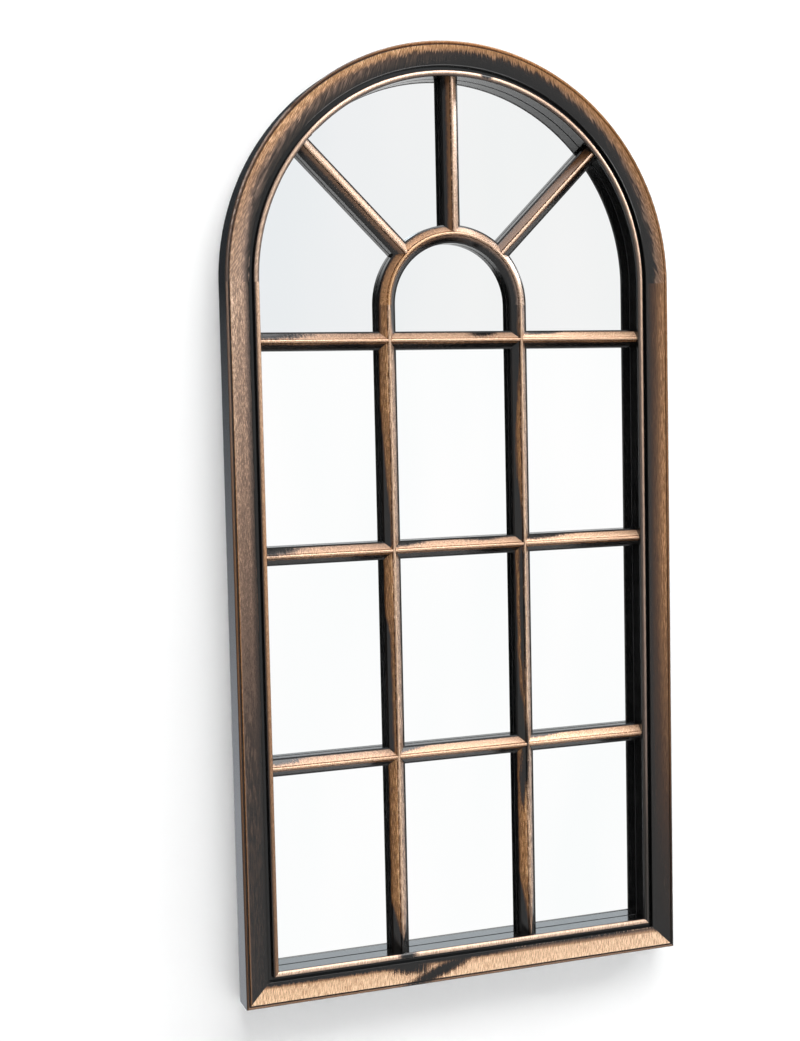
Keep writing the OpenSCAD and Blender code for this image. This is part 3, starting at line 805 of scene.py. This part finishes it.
@dataclass
class GlazingBars:
    """The bars that divide the mirror into panes. Sizes are in millimetres."""

    mullion_x: float = 75.0
    transoms: Mapping[str, float] = field(
        default_factory=lambda: {"low": 249.0, "middle": 469.5, "top": 690.0}
    )
    hub_height: float = 727.0
    spoke_angles: Mapping[str, float] = field(
        default_factory=lambda: {"left": -45.0, "centre": 0.0, "right": 45.0}
    )
    # Copper starts where the slopes do, and on the mullions from the ledge below them
    slope_start: Pair = (15.9, 16.6)
    ledge_start: Pair = (15.1, 15.7)
    # How far the bar, its round crest and the quirks beside that reach from the middle line
    half_bar: float = 10.0
    half_crest: float = 1.3
    quirk: float = 1.9
    # Half the width over which the copper thins out at its edge
    soft: float = 1.0
    copper: RubbedCopper = RubbedCopper()
    # The first bar's seed, and what sets each bar's strokes apart from the last one's
    first_seed: float = 20.0
    seed_step: float = 2.3

    def rub(self, reaches: Pair, amounts: Pair = (0.6, 0.8), **changes: Any) -> Rub:
        """Says where a bar took the copper.

        Args:
            reaches: How far the copper goes from the crest, to where distances across are negative
                and to the other side.
            amounts: How much copper each of these sides holds.
            changes: Other fields of the rub.

        Returns:
            The rub.
        """
        low, high = reaches
        low_amount, high_amount = amounts
        face = (
            (-self.half_bar, 0.0),
            (-low - self.soft, 0.0),
            (-low + self.soft, 0.8 * low_amount),
            (-self.quirk, low_amount),
            (-self.half_crest, 0.8),
            (self.half_crest, 0.8),
            (self.quirk, high_amount),
            (high - self.soft, 0.8 * high_amount),
            (high + self.soft, 0.0),
            (self.half_bar, 0.0),
        )
        lines = ((-1.8, 0.0), (-1.2, 0.72), (0.0, 1.0), (1.2, 0.72), (1.8, 0.0))
        fields = {
            "bounds": level(1.0), "surface": self.slope_start, "gold": level(0.8),
            # The crest and the slope on the positive side take the pale pink tone: partly real
            # copper and partly painted highlight
            "gold_bounds": ((-2.4, 1.0), (-1.2, 0.25), (self.half_bar, 0.25)),
            "ragged": 1.2, "drift": 1.0, "stroke": (0.5, 1.6), "gaps": 0.45, "grains": 0.45,
        }
        return Rub(lines=lines, face=face, **{**fields, **changes})

    def upright(self, edges: Sequence[Triple], **changes: Any) -> Rub:
        """Says where a mullion took the copper.

        Args:
            edges: Heights, and how far the copper's left and right edges draw back there.
            changes: Other fields of the rub.

        Returns:
            The rub.
        """
        return self.rub(
            (7.8, 7.4), (0.6, 0.72),
            skirt=tuple((z, (left + right) / 2) for z, left, right in edges),
            lean=tuple((z, (left - right) / 2) for z, left, right in edges),
            surface=self.ledge_start, ragged=1.6, stroke=(0.5, 9.0), gaps=0.6, **changes,
        )

    def dress(self) -> None:
        """Gives every bar its finish."""
        bars: list[tuple[str, StraightRun | RoundRun, Rub]] = []
        # Each mullion is bare above the foot rail, and its left slope is barest above each transom
        left = self.upright(
            (
                (36.0, 9.0, 9.0), (50.0, 9.0, 7.0), (56.0, 6.0, 3.0), (76.0, 2.5, 0.5),
                (92.0, -1.5, 0.0), (249.0, -1.5, 0.0), (254.0, 4.0, 0.0), (332.0, 3.4, 0.0),
                (378.0, 2.8, 0.0), (402.0, -1.0, 0.0), (469.0, -1.5, 0.0), (474.0, 6.0, 0.0),
                (530.0, 4.0, 0.0), (553.0, 2.0, 0.0), (598.0, 0.0, 0.0), (622.0, -1.5, 0.0),
                (690.0, -1.5, 0.0), (702.0, 0.0, 2.5), (727.0, 0.4, 4.8),
            ),
            line_strength=((36.0, 0.0), (52.0, 0.0), (66.0, 1.0)),
            gold=((36.0, 1.0), (727.0, 0.9)),
        )
        right = self.upright(
            (
                (36.0, 6.5, 7.0), (50.0, 5.6, 4.0), (80.0, 2.5, 1.0), (106.0, -1.5, 0.5),
                (249.0, -1.5, 0.0), (256.0, 6.2, 0.0), (286.0, 5.2, 0.0), (320.0, 2.0, 0.0),
                (355.0, 0.5, 0.0), (462.0, 0.0, 0.0), (475.0, 6.2, 0.0), (495.0, 6.0, 0.0),
                (518.0, 4.3, 0.0), (545.0, 2.5, 0.0), (600.0, 2.5, 0.0), (622.0, 3.4, 0.0),
                (667.0, 5.8, 0.0), (690.0, 6.2, 0.0), (702.0, 5.0, 0.0), (727.0, 4.8, 0.4),
            ),
            line_strength=((36.0, 0.1), (60.0, 0.3), (200.0, 0.6), (255.0, 0.7), (260.0, 1.0)),
            gold=((36.0, 1.0), (690.0, 1.0), (727.0, 0.2)),
            misses=(
                Miss((72.0, 400.0), (100.0, 2.4), 90.0),
                Miss((71.6, 224.0), (44.0, 3.6), 87.0),
            ),
        )
        for side, part, rub in ((-1, "left", left), (1, "right", right)):
            run = StraightRun((side * self.mullion_x, 0.0), (0.0, 1.0), (1.0, 0.0))
            bars.append((f"mullion_{part}", run, rub))
        # Spots on the transoms' upper slopes that stayed dark
        spots = {
            ("top", "left"): (Miss((-205.0, 697.0), (44.0, 5.0)),),
            ("top", "centre"): (Miss((34.0, 698.5), (16.0, 5.0), 4.0),),
            ("top", "right"): (Miss((104.0, 698.6), (24.0, 3.0), 3.0),),
            ("middle", "left"): (Miss((-211.0, 476.5), (34.0, 5.4)),),
            ("middle", "centre"): (
                Miss((-58.0, 478.0), (30.0, 4.4), 5.0),
                Miss((30.0, 478.4), (26.0, 3.0)),
            ),
            ("middle", "right"): (Miss((102.0, 478.0), (36.0, 4.0), 3.0),),
            ("low", "left"): (Miss((-211.0, 257.0), (32.0, 4.6)),),
            ("low", "centre"): (Miss((-60.0, 257.6), (30.0, 3.8), 7.0),),
            ("low", "right"): (Miss((102.0, 257.8), (28.0, 2.6), 4.0),),
        }
        # The upper slopes hold more copper, and so look lighter, towards the right, and their crest
        # and upper slope take the pale pink tone: partly real copper and partly painted highlight
        upper_slopes = {"left": 0.7, "centre": 0.78, "right": 0.92}
        for row, height in self.transoms.items():
            for part, amount in upper_slopes.items():
                run = StraightRun((0.0, height), (1.0, 0.0), (0.0, 1.0))
                rub = self.rub(
                    (3.6, 8.6), (0.6, amount), ragged=1.4, stroke=(0.5, 1.2), gaps=0.25,
                    gold_bounds=((-2.4, 1.0), (-1.2, 0.4), (self.half_bar, 0.4)),
                    line_strength=level(0.92), misses=spots[row, part],
                )
                bars.append((f"transom_{row}_{part}", run, rub))
        # On each spoke: how far the copper goes either way, how much there is, and how golden it
        # is. The left spoke's upper right slope and the middle one's right slope hold more copper
        # in the pale pink
        # tone: partly real copper and partly painted highlight
        slopes = {
            "left": ((5.4, 8.2), (0.5, 1.05), (0.6, 0.0)),
            "centre": ((5.4, 7.8), (0.42, 0.8), (1.0, 0.3)),
            "right": ((8.2, 3.4), (0.32, 0.4), (1.0, 1.0)),
        }
        for part, angle in self.spoke_angles.items():
            turn = math.radians(angle)
            way, side_way = (math.sin(turn), math.cos(turn)), (math.cos(turn), -math.sin(turn))
            run = StraightRun((0.0, self.hub_height), way, side_way)
            reaches, amounts, golds = slopes[part]
            rub = self.rub(
                reaches, amounts, gaps=0.12, ragged=1.4, gold=level(1.0),
                gold_bounds=((-2.4, golds[0]), (-1.2, 0.1), (1.2, 0.1), (2.4, golds[1])),
            )
            bars.append((f"spoke_{part}", run, rub))
        hub = RoundRun((0.0, self.hub_height), self.mullion_x, 1)
        # Towards the right, where the hub faces the upper right, it holds more copper in the pale
        # pink tone: partly real copper and partly painted highlight
        around = ((-118.0, 0.9), (-80.0, 0.76), (-30.0, 0.8), (20.0, 1.0), (118.0, 1.05))
        tone = ((-118.0, 0.9), (-30.0, 0.6), (40.0, 0.1), (118.0, 0.0))
        rub = self.rub(
            (4.2, 7.6), (0.62, 0.82), strength=around, gold=tone, gold_bounds=level(1.0), gaps=0.35
        )
        bars.append(("inner_arch_bar", hub, rub))
        for place, (node, run, rub) in enumerate(bars):
            name = f"rubbed copper on polystyrene, {node}"
            seed = place * self.seed_step + self.first_seed
            dress(node, self.copper.material(name, run, rub, seed))


@dataclass
class MirrorPane:
    """The sheet of mirror glass, the tape that beds it, whose black is also painted contact shade,
    and the board that holds it in.
    """

    glass: SilveredGlass = SilveredGlass()
    tape: GrainedFinish = BLACK_TAPE_AND_CONTACT_SHADE
    board: GrainedFinish = HARDBOARD

    def dress(self) -> None:
        """Gives the glass, the tapes and the board their finishes."""
        dress("mirror_glass", self.glass.material("silvered float glass"))
        # The tape's black is also painted shade along the feet of the bars and the rim
        tape = self.tape.material("black foam tape")
        for node in ("rim_tape", "bar_tape"):
            dress(node, tape)
        dress("back_board", self.board.material("hardboard, dyed black"))


@dataclass
class BackFixings:
    """The clips, hangers, screws and buffers on the back."""

    sheet: GrainedFinish = ZINC_SHEET
    wire: GrainedFinish = NICKEL_WIRE
    steel: GrainedFinish = PASSIVATED_STEEL
    rubber: GrainedFinish = RUBBER

    def dress(self) -> None:
        """Gives every fixing its finish."""
        sheet = self.sheet.material("zinc-plated sheet steel")
        for node in ("board_clips", "hanger_strap_left", "hanger_strap_right"):
            dress(node, sheet)
        wire = self.wire.material("nickel-plated steel wire")
        for node in ("hanger_ring_left", "hanger_ring_right"):
            dress(node, wire)
        steel = self.steel.material("blue passivated steel")
        for node in ("key_screws", "clip_screws", "hanger_screws"):
            dress(node, steel)
        dress("wall_buffers", self.rubber.material("moulded rubber"))


class Lamp(Enum):
    """The studio's soft lamps: place, width and height in metres, power in watts and colour."""

    OVERHEAD = ((0.25, -0.9, 3.0), (2.6, 2.6), 143.0, "#ffffff")
    SIDE = ((2.6, -1.0, 1.8), (0.9, 0.9), 38.0, "#ffffff")
    REAR = ((-0.8, 2.2, 1.5), (1.8, 1.8), 60.0, "#ffffff")
    # A far card, which shows in the frame's glossy inner walls as a cool light
    CARD = ((4.3, -11.5, 4.45), (4.0, 1.5), 32.0, "#dcebf5")


@dataclass
class Studio:
    """A pale wall and floor round the mirror, soft lamps and the camera. Sizes are in metres."""

    # The wall's face, which the buffers touch, the floor, and how far both reach
    wall_y: float = 0.00526
    floor_z: float = -0.85
    reach: float = 8.0
    # Half the mirror's width, and how high its straight sides run
    outline: Pair = (0.25, 0.75)
    # The wall is open behind the mirror, this far inside that outline, to let light onto its back
    opening_inset: float = 0.006
    arc_steps: int = 32
    paint: str = "#f4f4f4"
    # Light that the wall and floor add towards the camera and in reflections, where 1 is white
    lift: float = 0.12
    # Between these distances from the mirror's foot both fade into the white surround
    fade: Pair = (1.3, 2.6)
    # Plain light from all round
    ambient: float = 0.26
    # The wall as reflections see it, a painted reflection: a glow that is pale low down and darker
    # higher up as painted shade, and the heights where it starts and stops changing
    painted_wall_reflection: tuple[str, str] = ("#f4f8ff", "#4a4e52")
    glint_heights: Pair = (0.2, 0.75)
    # What the mirror's upper panes and the glossy plastic see: a grey sky that turns paler towards
    # the right, with white below it and above it. Ranges are parts of a way of length 1
    sky_left: str = "#e6eaee"
    sky_right: str = "#f5f5f5"
    sky_turn: Pair = (0.16, 0.38)
    sky_foot: Pair = (0.032, 0.042)
    sky_top: Pair = (0.2, 0.32)
    # A black flag beside the camera, which only reflections show, keeps the walls that face left
    # dark. Its soft edge lies between two cosines from its middle
    flag_way: Pair = (-0.44, -0.898)
    flag_edge: Pair = (0.955, 0.985)
    flag_black: str = "#0a0a0c"
    # What every lamp points at
    aim: Triple = (0.0, 0.0, 0.5)
    # The camera, fitted to points on the frame, and how near and far it sees
    camera_place: Triple = (-0.634, -1.611, 0.627)
    camera_forward: Triple = (0.33497, 0.93928, -0.07443)
    camera_up: Triple = (0.04577, 0.06268, 0.99698)
    focal_mm: float = 55.44
    sensor_mm: float = 36.0
    sight: Pair = (0.05, 50.0)

    def build(self) -> None:
        """Sets up the whole studio."""
        self.wall()
        self.floor()
        self.world()
        for lamp in Lamp:
            self.lamp(lamp)
        self.camera()

    def wall(self) -> None:
        """Adds the wall. It shows from its front alone, which keeps the mirror's back in view."""
        half, spring = (mm - inset for mm, inset in zip(self.outline, (self.opening_inset, 0.0)))
        turns = [math.pi * step / self.arc_steps for step in range(self.arc_steps + 1)]
        arc = [(half * math.cos(turn), half * math.sin(turn)) for turn in turns]
        opening = [Vector((x, 0.0, spring + z)) for x, z in arc]
        opening += [Vector((x, 0.0, self.opening_inset)) for x in (-half, half)]
        middle = Vector((0.0, 0.0, spring / 2))
        outside = [middle + (corner - middle) * (self.reach / half) for corner in opening]
        count = len(opening)
        faces = [(i, count + i, count + (i + 1) % count, (i + 1) % count) for i in range(count)]
        corners = [corner + Vector((0.0, self.wall_y, 0.0)) for corner in opening + outside]
        self.stage("studio_wall", corners, faces)

    def floor(self) -> None:
        """Adds the floor."""
        corners = [
            Vector((x * self.reach, y * self.reach, self.floor_z))
            for x, y in ((-1, -1), (1, -1), (1, 1), (-1, 1))
        ]
        self.stage("studio_floor", corners, [(0, 1, 2, 3)])

    def stage(self, name: str, corners: list[Vector], faces: list[tuple[int, ...]]) -> None:
        """Adds one part of the stage.

        Args:
            name: Its name.
            corners: Its corner points.
            faces: The corners of each face.
        """
        mesh = bpy.data.meshes.new(name)
        mesh.from_pydata(corners, [], faces)
        plane = bpy.data.objects.new(name, mesh)
        bpy.context.scene.collection.objects.link(plane)
        plane.data.materials.append(self.surface_material(name))
        LOG.info("%s: stage", name)

    def surface_material(self, name: str) -> bpy.types.Material:
        """Makes matt paint that is seen from its front alone. On the wall, reflections see a
        painted glow instead, darker higher up as painted shade.

        Args:
            name: The material's name.

        Returns:
            The material.
        """
        made, graph = new_material(name)
        matt = graph.add("BsdfDiffuse", None, {"Color": linear(self.paint)})
        clear = graph.add("BsdfTransparent")
        seen, glossy = graph.rays()
        spot = graph.add("TexCoord", output="Object")
        away = graph.add("VectorMath", "LENGTH", (spot,), "Value")
        fade = graph.add("MapRange", None, (away, *self.fade, self.lift, 1.0))
        strength = graph.add("Math", "MULTIPLY", (seen, fade))
        glow = graph.add("Emission", None, {"Strength": strength})
        lit = graph.add("AddShader", None, (matt, glow))
        mirrored = clear
        # Reflections see the wall as a painted glow, pale low down and darker higher up as painted
        # shade
        if name == "studio_wall":
            height = graph.add("SeparateXYZ", None, (spot,), "Z")
            share = graph.add("MapRange", None, (height, *self.glint_heights))
            ramp = [(at, linear(shade)) for at, shade in enumerate(self.painted_wall_reflection)]
            shade = graph.add("ValToRGB", {"stops": ramp}, (share,))
            mirrored = graph.add("Emission", None, {"Color": shade})
        shader = graph.add("MixShader", None, (glossy, lit, mirrored))
        behind = graph.add("NewGeometry", output="Backfacing")
        shader = graph.add("MixShader", None, (behind, shader, clear))
        graph.add("OutputMaterial", None, {"Surface": shader})
        return made

    def world(self) -> None:
        """Sets up a white surround, plain light from all round, and what shows in reflections."""
        made = bpy.data.worlds.new("studio")
        bpy.context.scene.world = made
        made.use_nodes = True
        # The surround differs between kinds of ray, so lamps alone are sampled directly
        made.cycles.sampling_method = "NONE"
        graph = Graph(made.node_tree)
        way = graph.add("TexCoord", output="Generated")
        x, z = [graph.add("SeparateXYZ", None, (way,), axis) for axis in "XZ"]
        turned, above, high = [
            graph.add("MapRange", None, (part, *ends))
            for part, ends in ((x, self.sky_turn), (z, self.sky_foot), (z, self.sky_top))
        ]
        ramp = [(0.0, linear(self.sky_left)), (1.0, linear(self.sky_right))]
        sky = graph.add("ValToRGB", {"stops": ramp}, (turned,))
        mix = {"data_type": "RGBA"}
        white_above = graph.add("Mix", mix, {0: high, 6: sky, 7: WHITE}, 2)
        surround = graph.add("Mix", mix, {0: above, 6: WHITE, 7: white_above}, 2)
        flat = graph.add("VectorMath", "MULTIPLY", (way, (1.0, 1.0, 0.0)))
        flat = graph.add("VectorMath", "NORMALIZE", (flat,))
        facing = graph.add("VectorMath", "DOT_PRODUCT", (flat, (*self.flag_way, 0.0)), "Value")
        flagged = graph.add("MapRange", None, (facing, *self.flag_edge))
        black = linear(self.flag_black)
        surround = graph.add("Mix", mix, {0: flagged, 6: surround, 7: black}, 2)
        reflected = graph.add("Background", None, {"Color": surround})
        white, plain = [
            graph.add("Background", None, {"Strength": strength, "Color": WHITE})
            for strength in (1.0, self.ambient)
        ]
        seen, glossy = graph.rays()
        shader = graph.add("MixShader", None, (glossy, plain, reflected))
        shader = graph.add("MixShader", None, (seen, shader, white))
        graph.add("OutputWorld", None, {"Surface": shader})

    def lamp(self, lamp: Lamp) -> None:
        """Adds one soft lamp.

        Args:
            lamp: Which lamp.
        """
        place, (width, height), power, colour = lamp.value
        data = bpy.data.lights.new(lamp.name.lower(), "AREA")
        data.shape = "RECTANGLE"
        data.size, data.size_y = width, height
        data.energy = power
        data.color = linear(colour)[:3]
        made = bpy.data.objects.new(lamp.name.lower(), data)
        made.location = place
        aim = Vector(self.aim) - Vector(place)
        made.rotation_euler = aim.to_track_quat("-Z", "Y").to_euler()
        bpy.context.scene.collection.objects.link(made)

    def camera(self) -> None:
        """Adds the camera where the photographer stood."""
        data = bpy.data.cameras.new("camera")
        data.lens = self.focal_mm
        data.sensor_width = self.sensor_mm
        data.sensor_fit = "AUTO"
        data.clip_start, data.clip_end = self.sight
        forward, up = Vector(self.camera_forward).normalized(), Vector(self.camera_up).normalized()
        right = forward.cross(up).normalized()
        up = right.cross(forward)
        made = bpy.data.objects.new("camera", data)
        turn = Matrix((right, up, -forward)).transposed().to_4x4()
        made.matrix_world = Matrix.Translation(self.camera_place) @ turn
        bpy.context.scene.collection.objects.link(made)
        bpy.context.scene.camera = made


def main() -> None:
    """Dresses the mirror and builds the studio round it."""
    logging.basicConfig(level=logging.INFO, format="%(name)s: %(message)s")
    bpy.context.scene.view_settings.view_transform = "Standard"
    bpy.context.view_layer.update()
    Studio().build()
    MouldedFrame().dress()
    GlazingBars().dress()
    MirrorPane().dress()
    BackFixings().dress()


if __name__ == "__main__":
    main()
